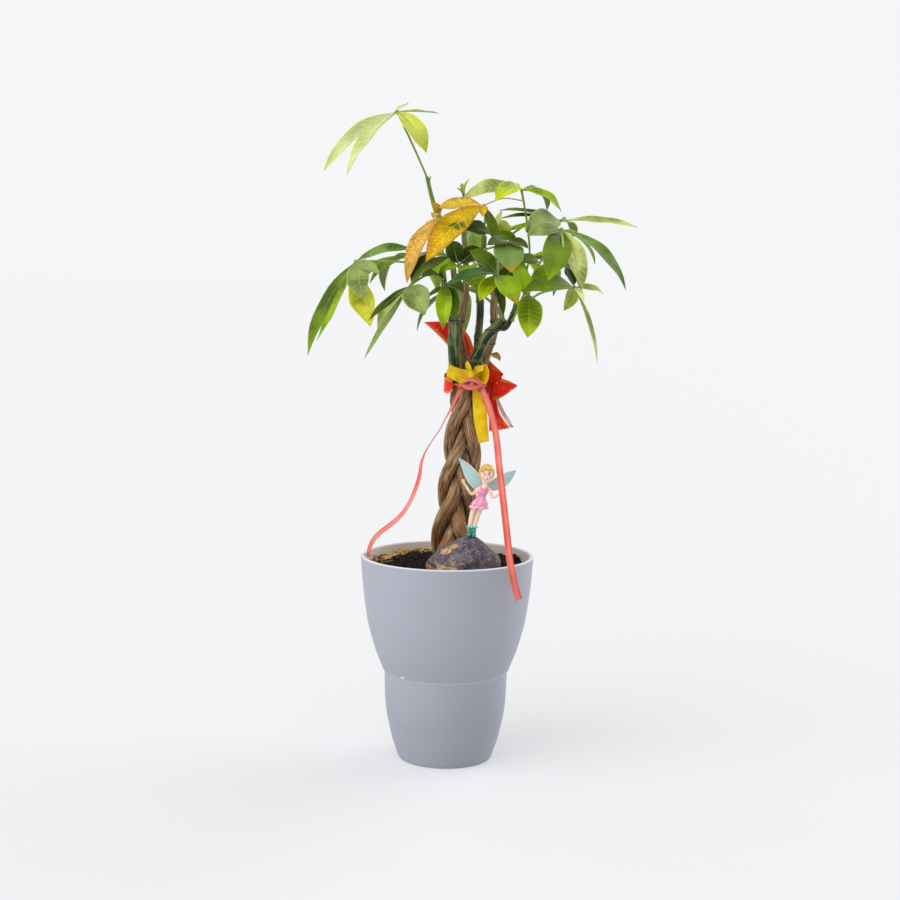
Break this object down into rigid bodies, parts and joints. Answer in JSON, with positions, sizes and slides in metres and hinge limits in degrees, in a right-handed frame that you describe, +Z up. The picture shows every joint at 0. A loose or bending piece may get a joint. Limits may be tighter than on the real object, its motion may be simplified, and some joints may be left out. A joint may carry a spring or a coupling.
{
  "type": "potted money tree",
  "caption": "Potted money tree: plaited stems tied with ribbons, palmate leaves, and a stone and a small garden fairy on the soil of a grey tiered pot.",
  "frame": {"origin": "centre of the pot's flat foot, where it rests", "axes": "+Z up; the picture looks along +Y, with +X to the right"},
  "size_m": [0.259, 0.212, 0.53],
  "materials": {
    "pot": "matt glazed, blue-grey",
    "soil": "damp, crumbly",
    "stone": "rough, weathered",
    "figure": "painted resin",
    "wings": "painted resin",
    "bark": "rough bark",
    "yellow_ribbon": "satin",
    "red_ribbon": "satin with gold edges",
    "coral_ribbon": "glossy",
    "leaf": "satin",
    "young_leaf": "satin",
    "yellow_leaf": "satin, brown at the edges"
  },
  "bodies": {
    "root": {"pot": "pot", "soil": "soil", "stone": "stone", "fairy": "figure", "fairy_wings": "wings", "strand_1": "bark", "strand_2": "bark", "strand_3": "bark", "strand_4": "bark", "strand_5": "bark", "yellow_bow": "yellow_ribbon", "red_ribbon": "red_ribbon", "coral_band": "coral_ribbon", "coral_tail_left": "coral_ribbon", "coral_tail_right": "coral_ribbon", "leaf_top": "young_leaf", "leaf_young": "young_leaf", "leaf_yellow": "yellow_leaf", "leaf_brown": "yellow_leaf", "leaf_far_left": "leaf", "leaf_left": "leaf", "leaf_front": "leaf", "leaf_centre": "leaf", "leaf_right_top": "leaf", "leaf_right_upper": "leaf", "leaf_right": "leaf", "leaf_right_low": "leaf", "leaf_hanging": "leaf", "leaf_triangular": "leaf", "leaf_inner": "leaf", "leaf_mid_left": "leaf", "leaf_mid_right": "leaf", "leaf_mid_back": "leaf", "leaf_back_left": "leaf", "leaf_back": "leaf", "leaf_back_right": "leaf", "leaf_back_low": "leaf"}
  },
  "joints": []
}
